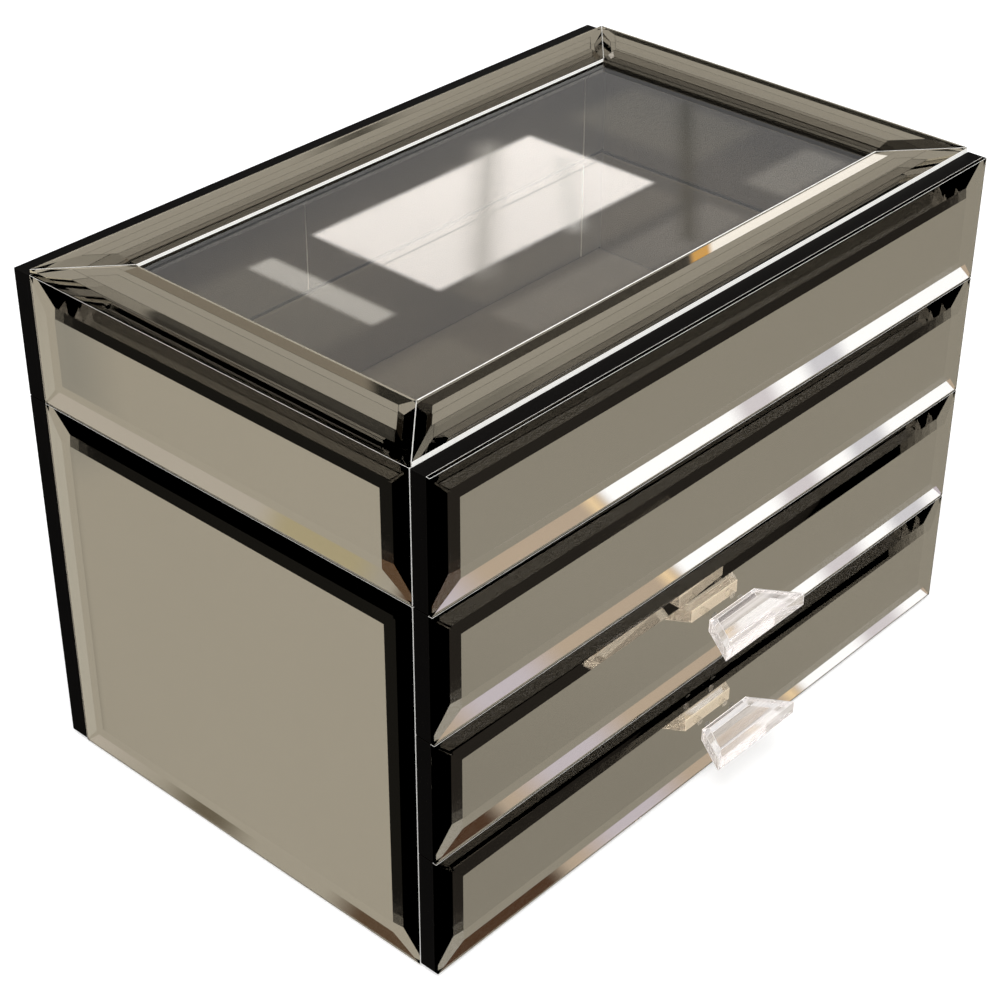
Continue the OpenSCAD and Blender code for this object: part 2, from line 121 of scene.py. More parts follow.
# %% Float glass
# Float glass is cast on molten tin, so that it is flat and smooth. A ray from outside is only bent on its way
# in, because the silver's reflection drowns the glass's own; inside, the full glass throws it to and fro. The
# rims that face the front are ground frosted, and their white is partly painted light: only these front-facing
# rims, where the light falls, get the frost, and it glows by itself.
GLASS_IOR = 1.52  # soda-lime glass
GLASS_TINT = linear("#ebe1ca")
FACE_TINT = tuple(math.sqrt(v) for v in GLASS_TINT[:3]) + (1,)  # each of two faces takes half of the tint
BEVEL_DROP = 2.4 * MM  # from the flat down to the upper edge of the rim
RIM_SHOWN = 0.8 * MM  # how much of the back strip's rim shows over the pane
RIM_PAINTED_GLOW = 0.45  # painted glow of the frosted rims, a painted highlight
strip_rim_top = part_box("back_top_mirror")[1][2] - BEVEL_DROP
glasses = {}
for facing, axis in {"front": "Y", "side": "X", "top": "Z"}.items():
    glass, tree, place = start_material("bevelled_float_glass_" + facing)
    wipe_marks = add(tree, "TexNoise", {"Vector": place, "Scale": 1 / (18 * MM), "Detail": 3})
    glass_haze = add(tree, "MapRange", {"Value": wipe_marks.outputs["Fac"], "From Min": 0.4, "From Max": 0.8,
                                        "To Min": 0.0, "To Max": 0.001})
    within = add(tree, "BsdfPrincipled", {
        "Base Color": GLASS_TINT, "Roughness": glass_haze.outputs["Result"], "IOR": GLASS_IOR,
        "Transmission Weight": 1.0})
    entering = add(tree, "BsdfRefraction", {
        "Color": FACE_TINT, "Roughness": glass_haze.outputs["Result"], "IOR": GLASS_IOR})
    surface = add(tree, "NewGeometry")
    normal = add(tree, "SeparateXYZ", {"Vector": surface.outputs["True Normal"]})
    # A rim stands square to the mirror: its normal has no part along the mirror's own axis.
    along = add(tree, "Math", {0: normal.outputs[axis]}, operation="ABSOLUTE")
    is_rim = add(tree, "Math", {0: along.outputs[0], 1: 0.2}, operation="LESS_THAN")
    faces_front = add(tree, "Math", {0: normal.outputs["Y"], 1: -0.7}, operation="LESS_THAN")
    # On the back strip only the upper part of the rim shows over the pane's edge.
    spot = add(tree, "SeparateXYZ", {"Vector": place})
    at_front = add(tree, "Math", {0: spot.outputs["Y"], 1: 0.0}, operation="LESS_THAN")
    upper_part = add(tree, "Math", {
        0: spot.outputs["Z"], 1: strip_rim_top - RIM_SHOWN}, operation="GREATER_THAN")
    bare = add(tree, "Math", {0: at_front.outputs[0], 1: upper_part.outputs[0]}, operation="MAXIMUM")
    # Only rims that face the front, where the light falls, get the white frost with its painted glow.
    front_rim = add(tree, "Math", {0: is_rim.outputs[0], 1: faces_front.outputs[0]}, operation="MULTIPLY")
    frosted_glowing_rim = add(tree, "Math", {0: front_rim.outputs[0], 1: bare.outputs[0]}, operation="MULTIPLY")
    grinding = add(tree, "TexNoise", {"Vector": place, "Scale": 1 / (0.6 * MM), "Detail": 3})
    frost_glow_tone = add(tree, "MixRGB", {
        "Fac": grinding.outputs["Fac"], "Color1": linear("#dedcd6"), "Color2": linear("#fbfaf7")})
    frost_with_glow = add(tree, "BsdfPrincipled", {
        "Base Color": frost_glow_tone.outputs["Color"], "Roughness": 0.7,
        "Emission Color": frost_glow_tone.outputs["Color"], "Emission Strength": RIM_PAINTED_GLOW})
    outside = add(tree, "MixShader", {0: frosted_glowing_rim.outputs[0], 1: entering.outputs[0], 2: frost_with_glow.outputs[0]})
    shader = add(tree, "MixShader", {
        0: surface.outputs["Backfacing"], 1: outside.outputs[0], 2: within.outputs[0]})
    add(tree, "OutputMaterial", {"Surface": shader.outputs[0]})
    glasses[facing] = glass
# A ray that is caught in a bevel strikes glass and silver in turn, so it needs more bounces than a room does.
scene.cycles.max_bounces = 20
scene.cycles.glossy_bounces = 12
scene.cycles.transmission_bounces = 12
print("glasses:", [made.name for made in glasses.values()])

# %% [markdown]
# ## The silvering
# The real glass is silvered on its back: a film of metal far thinner than a hair, with paint over it. One metal
# colour on the whole glass would be simpler, but then each bevel would show a single flat reflection. A film
# of its own leaves the glass clear, so that rays can cross it.

# %% Tinted silvering
# Silver is deposited on the back of the glass from a bath and sealed with paint. The film itself is a neutral
# mirror with a faint cloud in it. The warm grey of the flats is the tint of the glass, which every reflection
# passes on its way in and out.
silver, tree, place = start_material("tinted_silvering")
cloud = add(tree, "TexNoise", {"Vector": place, "Scale": 1 / (60 * MM), "Detail": 2})
tint = add(tree, "MixRGB", {
    "Fac": cloud.outputs["Fac"], "Color1": linear("#dddcdb"), "Color2": linear("#e0dfde")})
shader = add(tree, "BsdfPrincipled", {
    "Base Color": tint.outputs["Color"], "Metallic": 1.0, "Roughness": 0.0, "Specular Tint": (0, 0, 0, 1)})
add(tree, "OutputMaterial", {"Surface": shader.outputs[0]})
print("silvering", silver.name)

# %% [markdown]
# ## Silver films
# The film lies just inside the back of each glass. It is cut a little smaller than the glass, so that its rim
# never shows. The CAD box of each glass gives its place: the film is that box, cut down to a skin at the back.
# The four strips of the top frame are mitred, so their films are cut from their own outline instead.

# %% Film helper
FILM = 0.04 * MM  # thickness, paint included
RIM = 0.15 * MM  # how far the film stays inside the glass's outline


def show(name, data, material):
    """An object of this mesh or curve, in this material."""
    piece = bpy.data.objects.new(name, data)
    data.materials.append(material)
    scene.collection.objects.link(piece)
    return piece


def skin(name, outline, along, body):
    """A closed skin on an outline; along is its thickness as a vector."""
    mesh = bpy.data.meshes.new(name)
    shape = bmesh.new()
    low = [shape.verts.new(p) for p in outline]
    high = [shape.verts.new(Vector(p) + along) for p in outline]
    shape.faces.new(low)
    shape.faces.new(high)
    for i in range(len(outline)):
        j = (i + 1) % len(outline)
        shape.faces.new((low[i], low[j], high[j], high[i]))
    bmesh.ops.recalc_face_normals(shape, faces=shape.faces)
    shape.to_mesh(mesh)
    shape.free()
    piece = show(name, mesh, silver)
    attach(piece, body)


print("film is", FILM / MM, "mm thick")

# %% Films behind the front and side mirrors
FRONT_GLASS = {"lid_front_mirror": "lid", "fixed_front_mirror": "case",
               "upper_drawer_mirror": "upper_drawer", "lower_drawer_mirror": "lower_drawer"}
SIDE_GLASS = {"lid_left_mirror": "lid", "left_case_mirror": "case",
              "lid_right_mirror": "lid", "right_case_mirror": "case"}
for name, body in FRONT_GLASS.items():
    low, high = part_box(name)
    x0, x1, z0, z1 = low.x + RIM, high.x - RIM, low.z + RIM, high.z - RIM
    skin(name + "_silver", [(x0, high.y, z0), (x1, high.y, z0), (x1, high.y, z1), (x0, high.y, z1)],
         Vector((0, -FILM, 0)), body)
for name, body in SIDE_GLASS.items():
    low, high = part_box(name)
    outward = -1 if low.x < 0 else 1
    x = min(abs(low.x), abs(high.x)) * outward
    y0, y1, z0, z1 = low.y + RIM, high.y - RIM, low.z + RIM, high.z - RIM
    skin(name + "_silver", [(x, y0, z0), (x, y1, z0), (x, y1, z1), (x, y0, z1)],
         Vector((outward * FILM, 0, 0)), body)
print("films:", len(FRONT_GLASS) + len(SIDE_GLASS))

# %% Films behind the top strips
TOP_GLASS = ("front_top_mirror", "back_top_mirror", "left_top_mirror", "right_top_mirror")
for name in TOP_GLASS:
    level_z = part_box(name)[0].z
    corners = {(v.co.x, v.co.y) for v in nodes[name].data.vertices if v.co.z < level_z + 0.1 * MM}
    middle = sum((Vector(c) for c in corners), Vector((0, 0))) / len(corners)
    outline = sorted(corners, key=lambda c: math.atan2(c[1] - middle.y, c[0] - middle.x))
    outline = [middle + (Vector(c) - middle) * 0.999 for c in outline]
    skin(name + "_silver", [(c.x, c.y, level_z) for c in outline], Vector((0, 0, FILM)), "lid")
    print(name, "corners:", len(outline))

# %% Glass on the mirrors
def dress(material, *names):
    """Put one material on CAD nodes."""
    for name in names:
        nodes[name].data.materials.clear()
        nodes[name].data.materials.append(material)
    print(material.name, "on", len(names), "nodes")


dress(glasses["front"], *FRONT_GLASS)
dress(glasses["side"], *SIDE_GLASS)
dress(glasses["top"], *TOP_GLASS)

# %% [markdown]
# ## Ground arrises
# Where two ground faces of a mirror meet, the wheel leaves a hair-wide arris. On the top strips the one between
# flat and bevel is a dark line of painted shade; round the rim it is frosted, and its white line glows, a
# painted highlight.
# Each line is a thin tube along the CAD edge, so that it turns every corner with the glass.

# %% Arris materials
# A coarse wheel leaves a grain on the ridge between flat and bevel, and the ridge is drawn dark as painted
# shade; a fine wheel frosts the rim, and its pale line glows by itself as a painted highlight.
dark_ridge_shade, tree, place = start_material("ridge_painted_shade")
grinding = add(tree, "TexNoise", {"Vector": place, "Scale": 1 / (1.5 * MM), "Detail": 2})
ridge_shade_tone = add(tree, "MixRGB", {
    "Fac": grinding.outputs["Fac"], "Color1": linear("#1d1a15"), "Color2": linear("#3a352c")})
shader = add(tree, "BsdfPrincipled", {"Base Color": ridge_shade_tone.outputs["Color"], "Roughness": 0.5})
add(tree, "OutputMaterial", {"Surface": shader.outputs[0]})
pale_arris_glow, tree, place = start_material("frosted_rim_painted_glow")
grinding = add(tree, "TexNoise", {"Vector": place, "Scale": 1 / (1.0 * MM), "Detail": 2})
rim_glow_tone = add(tree, "MixRGB", {
    "Fac": grinding.outputs["Fac"], "Color1": linear("#dddbd4"), "Color2": linear("#f6f5f2")})
shader = add(tree, "BsdfPrincipled", {
    "Base Color": rim_glow_tone.outputs["Color"], "Roughness": 0.6,
    "Emission Color": rim_glow_tone.outputs["Color"], "Emission Strength": 0.25})
add(tree, "OutputMaterial", {"Surface": shader.outputs[0]})
print("arris materials:", dark_ridge_shade.name, pale_arris_glow.name)


# %% Arris helpers
def tubes(name, lines, material, radius):
    """One object of thin round tubes, each along a line of points."""
    curve = bpy.data.curves.new(name, "CURVE")
    curve.dimensions = "3D"
    curve.bevel_depth = radius
    curve.bevel_resolution = 2
    curve.use_fill_caps = True
    for spots in lines:
        line = curve.splines.new("POLY")
        line.points.add(len(spots) - 1)
        for point, place in zip(line.points, spots):
            point.co = tuple(place) + (1,)
    return show(name, curve, material)


def arris(name, node, body, chosen, material, radius, inset):
    """Tubes along the chosen CAD edges of one glass; chosen gets the two faces' normals and the edge's ends."""
    shape = bmesh.new()
    shape.from_mesh(nodes[node].data)
    bmesh.ops.remove_doubles(shape, verts=shape.verts, dist=0.001 * MM)
    bmesh.ops.dissolve_limit(shape, angle_limit=0.01, verts=shape.verts, edges=shape.edges)
    shape.normal_update()
    lines = []
    for edge in shape.edges:
        normals, ends = [face.normal for face in edge.link_faces], [vert.co for vert in edge.verts]
        if len(normals) == 2 and chosen(normals, ends):
            lines.append([vert.co - vert.normal * inset for vert in edge.verts])
    shape.free()
    piece = tubes(name, lines, material, radius)
    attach(piece, body)
    return len(lines)


print("arris helpers ready")

# %% Arris lines
# A normal's Z is 1 where a surface lies flat and faces up, less on a bevel, and 0 on an upright rim.
def ridges(normals, ends):
    """Edges between the flat and a long bevel of a top strip."""
    turns = sorted(n.z for n in normals)
    return turns[1] > 0.999 and 0.5 < turns[0] < 0.999


def mitres(normals, ends):
    """Edges round the four mitres, where two strips meet at a slant."""
    along = (ends[1] - ends[0]).normalized()
    steep = min(abs(n.z) for n in normals) < 0.3
    return max(n.z for n in normals) > 0.5 and steep and 0.2 < abs(along.x) < 0.98


def top_rims(normals, ends):
    """Edges between a bevel and the rim over it, on a front or side mirror."""
    return max(n.z for n in normals) > 0.9 and min(abs(n.z) for n in normals) < 0.6


def sight_line(normals, ends):
    """The upper edge of a strip's rim against the pane."""
    return max(n.z for n in normals) > 0.5 and max(n.y for n in normals) > 0.9


drawn = 0
# The pale lines glow by themselves as painted highlights, and the dark ridges are painted shade.
for name, body in {**FRONT_GLASS, **SIDE_GLASS}.items():
    drawn += arris(name + "_rims", name, body, top_rims, pale_arris_glow, radius=0.06 * MM, inset=0.03 * MM)
for name in TOP_GLASS:
    drawn += arris(name + "_ridges", name, "lid", ridges, dark_ridge_shade, radius=0.05 * MM, inset=0.06 * MM)
    drawn += arris(name + "_mitres", name, "lid", mitres, pale_arris_glow, radius=0.05 * MM, inset=0.0)
drawn += arris("front_top_mirror_sight_line", "front_top_mirror", "lid", sight_line, pale_arris_glow,
               radius=0.34 * MM, inset=0.2 * MM)
print("arris lines:", drawn)

# %% [markdown]
# ## Boards and wood
# Behind the glass the box is made of lacquered boards, which show as black lines between the mirrors, and the
# drawer boxes are of stained wood. A picture of paint or wood could be wrapped round each board. Patterns that
# the shader works out fit every solid without a seam, and their grain keeps its real size in millimetres.

# %% Black lacquer
# Fibreboard sprayed with satin black lacquer: a soft sheen, a fine orange-peel skin, and paler rubbed arrises.
lacquer, tree, place = start_material("satin_black_lacquer")
peel = add(tree, "TexNoise", {"Vector": place, "Scale": 1 / (1.2 * MM), "Detail": 2})
skin_bump = add(tree, "Bump", {"Height": peel.outputs["Fac"], "Strength": 0.15, "Distance": 0.02 * MM})
soft_edge = add(tree, "Bevel", {"Radius": 0.5 * MM}, samples=4)
sharp = add(tree, "NewGeometry")
same = add(tree, "VectorMath", {
    0: soft_edge.outputs["Normal"], 1: sharp.outputs["Normal"]}, operation="DOT_PRODUCT")
rubbed = add(tree, "MapRange", {"Value": same.outputs["Value"], "From Min": 0.97, "From Max": 0.85,
                                "To Min": 0.0, "To Max": 0.6})
dust = add(tree, "TexNoise", {"Vector": place, "Scale": 1 / (9 * MM), "Detail": 4})
black = add(tree, "MixRGB", {
    "Fac": dust.outputs["Fac"], "Color1": linear("#070605"), "Color2": linear("#0c0a09")})
black = add(tree, "MixRGB", {
    "Fac": rubbed.outputs["Result"], "Color1": black.outputs["Color"], "Color2": linear("#1c1a17")})
sheen = add(tree, "MapRange", {"Value": dust.outputs["Fac"], "To Min": 0.28, "To Max": 0.42})
shader = add(tree, "BsdfPrincipled", {
    "Base Color": black.outputs["Color"], "Roughness": sheen.outputs["Result"], "IOR": 1.5,
    "Specular IOR Level": 0.015, "Normal": skin_bump.outputs["Normal"]})
add(tree, "OutputMaterial", {"Surface": shader.outputs[0]})
dress(lacquer, "left_side_board", "right_side_board", "back_panel", "fixed_front_board", "lid_left_board",
      "lid_right_board", "lid_front_board", "lid_back_panel", "lid_top_board", "upper_drawer_front",
      "lower_drawer_front")

# %% Dyed board
# Inner boards are pressed fibre, dyed black and left unsprayed, so they are matt and open to the eye.
board, tree, place = start_material("dyed_fibreboard")
fibre = add(tree, "TexNoise", {"Vector": place, "Scale": 1 / (0.8 * MM), "Detail": 3})
dyed = add(tree, "MixRGB", {
    "Fac": fibre.outputs["Fac"], "Color1": linear("#1c1a17"), "Color2": linear("#2b2823")})
fibre_bump = add(tree, "Bump", {"Height": fibre.outputs["Fac"], "Strength": 0.3, "Distance": 0.05 * MM})
shader = add(tree, "BsdfPrincipled", {
    "Base Color": dyed.outputs["Color"], "Roughness": 0.75, "Normal": fibre_bump.outputs["Normal"]})
add(tree, "OutputMaterial", {"Surface": shader.outputs[0]})
dress(board, "base_board", "back_rail", "compartment_floor", "drawer_divider", "front_rail", "lid_front_rail",
      "lid_back_rail")

# %% Stained wood
# Drawer boxes of poplar, sawn and stained: long grain, darker pores, dull wax.
wood, tree, place = start_material("stained_poplar")
grain_place = add(tree, "Mapping", {"Vector": place, "Scale": (1 / (40 * MM), 1 / (40 * MM), 1 / (1.6 * MM))})
grain = add(tree, "TexNoise", {
    "Vector": grain_place.outputs["Vector"], "Scale": 1.0, "Detail": 4, "Distortion": 0.4})
stain = add(tree, "MixRGB", {
    "Fac": grain.outputs["Fac"], "Color1": linear("#2b231b"), "Color2": linear("#4d4236")})
pore_bump = add(tree, "Bump", {"Height": grain.outputs["Fac"], "Strength": 0.3, "Distance": 0.1 * MM})
shader = add(tree, "BsdfPrincipled", {
    "Base Color": stain.outputs["Color"], "Roughness": 0.55, "Normal": pore_bump.outputs["Normal"]})
add(tree, "OutputMaterial", {"Surface": shader.outputs[0]})
dress(wood, "upper_drawer_sides", "upper_drawer_back", "upper_drawer_bottom", "lower_drawer_sides",
      "lower_drawer_back", "lower_drawer_bottom", "drawer_runners")

# %% [markdown]
# ## Velvet
# Velvet is a woven cloth with a cut pile that stands up from it. Hairs could be grown on every card, but
# through the pane no single hair can be told apart. So the pile is a fine bump, and a sheen gives the pale
# edge that velvet has where one looks along it.

# %% Velvet
# Cut pile, 0.4 mm apart: dark when seen down into the pile, pale at grazing angles, brushed in soft patches.
velvet, tree, place = start_material("cut_pile_velvet")
pile = add(tree, "TexNoise", {"Vector": place, "Scale": 1 / (0.4 * MM), "Detail": 2})
brushed = add(tree, "TexNoise", {"Vector": place, "Scale": 1 / (22 * MM), "Detail": 3})
nap = add(tree, "MixRGB", {
    "Fac": brushed.outputs["Fac"], "Color1": linear("#655d4e"), "Color2": linear("#857a69")})
depth = add(tree, "MixRGB", {
    "Fac": pile.outputs["Fac"], "Color1": linear("#554d40"), "Color2": nap.outputs["Color"]})
pile_bump = add(tree, "Bump", {"Height": pile.outputs["Fac"], "Strength": 0.6, "Distance": 0.3 * MM})
shader = add(tree, "BsdfPrincipled", {
    "Base Color": depth.outputs["Color"], "Roughness": 0.95, "Sheen Weight": 0.5, "Sheen Roughness": 0.4,
    "Normal": pile_bump.outputs["Normal"]})
add(tree, "OutputMaterial", {"Surface": shader.outputs[0]})
print("velvet:", velvet.name)

# %% [markdown]
# ## Padded linings
# Each tray is lined with thin cards wrapped in velvet and pushed in one by one, so their edges round over and
# meet in seams. A card is too stiff to simulate as cloth, so every pad is built from its own profile.

# %% Pad maker
CROWN_REACH = 8 * MM  # from its edge inwards a pad still rises over this width
SOFT_PATCH = 24 * MM  # width of the soft unevenness of a pad
SOFT_DEPTH = 0.06  # its depth, as a share of the pad's thickness


def stations(length, edge, step):
    """Distances across a pad, close together where its edge rounds over."""
    inner = max(2, round((length - 2 * edge) / step))
    rounding = [0.0, 0.07 * edge, 0.3 * edge, 0.6 * edge]
    middle = [edge + (length - 2 * edge) * k / inner for k in range(inner + 1)]
    return rounding + middle + [length - d for d in reversed(rounding)]


def pad(shape, low, high, crown=0.25, edge=1.2 * MM, step=7 * MM):
    """A card wrapped in velvet: rounded at its edges, fullest in its middle, never outside its box."""
    sizes = [high[k] - low[k] for k in range(3)]
    thin = sizes.index(min(sizes))
    u_axis, v_axis = [k for k in range(3) if k != thin]
    us, vs = (stations(sizes[k], edge, step) for k in (u_axis, v_axis))

    def fullness(u, v):
        full = 1.0
        for d, length in ((u, sizes[u_axis]), (v, sizes[v_axis])):
            near = min(d, length - d)
            full *= math.sqrt(max(0.0, 1 - (1 - min(near / edge, 1)) ** 2))
            full *= 1 - crown * (1 - min(near / CROWN_REACH, 1)) ** 2
        soft = noise.noise(Vector((u, v, low[thin])) / SOFT_PATCH)
        return full * (1 - SOFT_DEPTH * (0.5 + 0.5 * soft))

    rows = {}
    for i, u in enumerate(us):
        for j, v in enumerate(vs):
            rim = i in (0, len(us) - 1) or j in (0, len(vs) - 1)
            for face in ((0,) if rim else (-1, 1)):
                place = [0.0, 0.0, 0.0]
                place[u_axis], place[v_axis] = low[u_axis] + u, low[v_axis] + v
                place[thin] = (low[thin] + high[thin]) / 2 + face * sizes[thin] / 2 * fullness(u, v)
                rows[i, j, face] = shape.verts.new(place)
    for i in range(len(us) - 1):
        for j in range(len(vs) - 1):
            for face in (-1, 1):
                ring = ((i, j), (i + 1, j), (i + 1, j + 1), (i, j + 1))
                shape.faces.new([rows.get((*at, face)) or rows[(*at, 0)] for at in ring])


print("stations across a 40 mm pad:", len(stations(40 * MM, 1.2 * MM, 7 * MM)))


# %% Upholstery
def soft_piece(name, shape, material):
    """A smooth object of the pads in this bmesh."""
    bmesh.ops.recalc_face_normals(shape, faces=shape.faces)
    data = bpy.data.meshes.new(name)
    shape.to_mesh(data)
    shape.free()
    data.polygons.foreach_set("use_smooth", [True] * len(data.polygons))
    return show(name, data, material)


def upholster(name, node, body, boxes):
    """One soft piece of several pads, in the space of its CAD solid."""
    shape = bmesh.new()
    for low, high in boxes:
        pad(shape, low, high)
    piece = soft_piece(name, shape, velvet)
    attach(piece, body)
    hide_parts(node)
    print(name, "pads:", len(boxes), "faces:", len(piece.data.polygons))


def walls(low, high, t, bottom):
    """Four wall pads that stand between bottom and the top of the box."""
    return [((low[0], low[1], bottom), (high[0], low[1] + t, high[2])),
            ((low[0], high[1] - t, bottom), (high[0], high[1], high[2])),
            ((low[0], low[1] + t, bottom), (low[0] + t, high[1] - t, high[2])),
            ((high[0] - t, low[1] + t, bottom), (high[0], high[1] - t, high[2]))]


print("upholstery helpers ready")

# %% Linings
LINING, DRAWER_LINING, PARTITION = 2 * MM, 1.5 * MM, 3 * MM
for name, node, body in (("compartment_wall_pads", "compartment_wall_lining", "case"),
                         ("lid_wall_pads", "lid_lining", "lid")):
    low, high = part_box(node)
    upholster(name, node, body, walls(low, high, LINING, low[2]))
upholster("compartment_floor_pad", "compartment_floor_lining", "case", [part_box("compartment_floor_lining")])
upholster("long_partition_pad", "long_partition", "case", [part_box("long_partition")])
low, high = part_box("short_partitions")
pitch = (high[0] - low[0] - PARTITION) / 2
upholster("short_partition_pads", "short_partitions", "case", [
    ((low[0] + k * pitch, low[1], low[2]), (low[0] + k * pitch + PARTITION, high[1], high[2]))
    for k in range(3)])
for level in ("upper", "lower"):
    low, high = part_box(level + "_drawer_lining")
    floor_pad = ((low[0], low[1], low[2]), (high[0], high[1], low[2] + DRAWER_LINING))
    upholster(level + "_drawer_pads", level + "_drawer_lining", level + "_drawer",
              [floor_pad] + walls(low, high, DRAWER_LINING, low[2] + DRAWER_LINING))

# %% [markdown]
# ## Piped seams
# Two pale upright lines show through the pane: cords that cover the seams of the back lining. A line could be
# drawn in the velvet's colour, but a thin round tube catches the light by itself and stands off the cloth.

# %% Piped seams
# Satin thread, twisted to a cord and sewn on: pale, with a soft sheen.
PIPING_RADIUS, PIPING_END, PIPING_LIFT = 0.22 * MM, 1 * MM, 0.05 * MM
LEFT_SEAM, RIGHT_SEAM = -34 * MM, 125.5 * MM  # where the two pale lines stand, along X
piping, tree, place = start_material("satin_piping")
twist = add(tree, "TexNoise", {"Vector": place, "Scale": 1 / (0.7 * MM), "Detail": 2})
cord_tone = add(tree, "MixRGB", {
    "Fac": twist.outputs["Fac"], "Color1": linear("#c9c3b6"), "Color2": linear("#f1ede4")})
shader = add(tree, "BsdfPrincipled", {
    "Base Color": cord_tone.outputs["Color"], "Roughness": 0.45, "Sheen Weight": 0.3})
add(tree, "OutputMaterial", {"Surface": shader.outputs[0]})


def pipe(name, body, node, x):
    """A straight cord up the back lining of a node at one X."""
    low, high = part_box(node)
    y = high[1] - LINING + PIPING_LIFT
    cord = [(x, y, low[2] + PIPING_END), (x, y, high[2] - PIPING_END)]
    piece = tubes(name, [cord], piping, PIPING_RADIUS)
    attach(piece, body)
    print(name, "at", round(x / MM, 1), "mm")


pipe("lid_left_piping", "lid", "lid_lining", LEFT_SEAM)
pipe("lid_right_piping", "lid", "lid_lining", RIGHT_SEAM)
pipe("case_right_piping", "case", "compartment_wall_lining", RIGHT_SEAM)

# %% [markdown]
# ## Felt
# The case stands on a sheet of felt, glued under its bottom so that the box does not scratch a table. It lies
# flat, so nothing has to be draped: the pad maker lays it as one thin pad, and its fibres are a bump.

# %% Felt
# Pressed wool felt: matted fibres with no thread to be seen.
felt, tree, place = start_material("pressed_wool_felt")
mat_of_fibres = add(tree, "TexNoise", {
    "Vector": place, "Scale": 1 / (0.7 * MM), "Detail": 5, "Roughness": 0.7})
wool = add(tree, "MixRGB", {
    "Fac": mat_of_fibres.outputs["Fac"], "Color1": linear("#141312"), "Color2": linear("#2c2a28")})
fibre_height = add(tree, "Bump", {
    "Height": mat_of_fibres.outputs["Fac"], "Strength": 0.7, "Distance": 0.2 * MM})
shader = add(tree, "BsdfPrincipled", {
    "Base Color": wool.outputs["Color"], "Roughness": 1.0, "Sheen Weight": 0.3,
    "Normal": fibre_height.outputs["Normal"]})
add(tree, "OutputMaterial", {"Surface": shader.outputs[0]})
low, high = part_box("felt_base")
shape = bmesh.new()
pad(shape, low, high, crown=0.0, edge=0.8 * MM, step=10 * MM)
felt_sheet = soft_piece("felt_sheet", shape, felt)
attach(felt_sheet, "case")
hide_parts("felt_base")
print("felt sheet:", [round(1000 * (high[k] - low[k]), 1) for k in range(3)], "mm")

# %% [markdown]
# ## Hinges
# The lid hangs on two butt hinges at the back. Leaves, pins and screws are solids of the CAD model already, so
# they only need their plating. Fine scratches vary its roughness, so that it does not look like new chrome.

# %% Nickel plate
# Nickel-plated steel, tumbled before plating: soft and bright, with fine scratches.
nickel, tree, place = start_material("nickel_plated_steel")
scratch_place = add(tree, "Mapping", {
    "Vector": place, "Scale": (1 / (6 * MM), 1 / (0.3 * MM), 1 / (0.3 * MM))})
scratches = add(tree, "TexNoise", {"Vector": scratch_place.outputs["Vector"], "Scale": 1.0, "Detail": 3})
plate_haze = add(tree, "MapRange", {"Value": scratches.outputs["Fac"], "To Min": 0.16, "To Max": 0.34})
plate = add(tree, "MixRGB", {
    "Fac": scratches.outputs["Fac"], "Color1": linear("#b3afa6"), "Color2": linear("#cbc8c0")})
shader = add(tree, "BsdfPrincipled", {
    "Base Color": plate.outputs["Color"], "Metallic": 1.0, "Roughness": plate_haze.outputs["Result"]})
add(tree, "OutputMaterial", {"Surface": shader.outputs[0]})
dress(nickel, "hinge_case_leaves", "hinge_pins", "hinge_case_screws", "hinge_lid_leaves", "hinge_lid_screws")

# %% [markdown]
# ## Crystal pulls
# Each drawer has a bar pull of clear crystal with slanted ends. A clear bar in a white studio would all but
# vanish. Faint streaks, a milky white back and the ground arrises draw its shape, and all of them glow by
# themselves: painted light.

# %% Cut crystal
# Clear crystal, sawn from a bar and polished: faint milky saw streaks run along it. The crystal glows by
# itself, a painted glow, and its back is milky white and glows most, a painted highlight for its image in the
# mirror.
CRYSTAL_IOR = 1.54
BRIGHT_BACK = 0.2 * MM  # depth of the white back, where the painted glow is strongest
BRIGHT_BACK_SHARE = 0.82  # share of milky white at the back, which shows bright in the mirror
crystal, tree, place = start_material("cut_crystal")
streaked = add(tree, "Mapping", {"Vector": place, "Scale": (1 / (60 * MM), 1 / (3 * MM), 1 / (3 * MM))})
streaks = add(tree, "TexNoise", {"Vector": streaked.outputs["Vector"], "Scale": 1.0, "Detail": 2})
polish = add(tree, "TexNoise", {"Vector": place, "Scale": 1 / (9 * MM), "Detail": 2})
polish_haze = add(tree, "MapRange", {"Value": polish.outputs["Fac"], "From Min": 0.4, "From Max": 0.8,
                                     "To Min": 0.0, "To Max": 0.01})
clear_part = add(tree, "BsdfPrincipled", {
    "Base Color": (1, 1, 1, 1), "Roughness": polish_haze.outputs["Result"], "IOR": CRYSTAL_IOR,
    "Transmission Weight": 1.0})
milk_glow_tone = add(tree, "MixRGB", {
    "Fac": streaks.outputs["Fac"], "Color1": linear("#f2e6e2"), "Color2": linear("#fffdfb")})
spot = add(tree, "SeparateXYZ", {"Vector": place})
back_of_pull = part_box("upper_handle")[1][1] - BRIGHT_BACK
at_back = add(tree, "Math", {0: spot.outputs["Y"], 1: back_of_pull}, operation="GREATER_THAN")
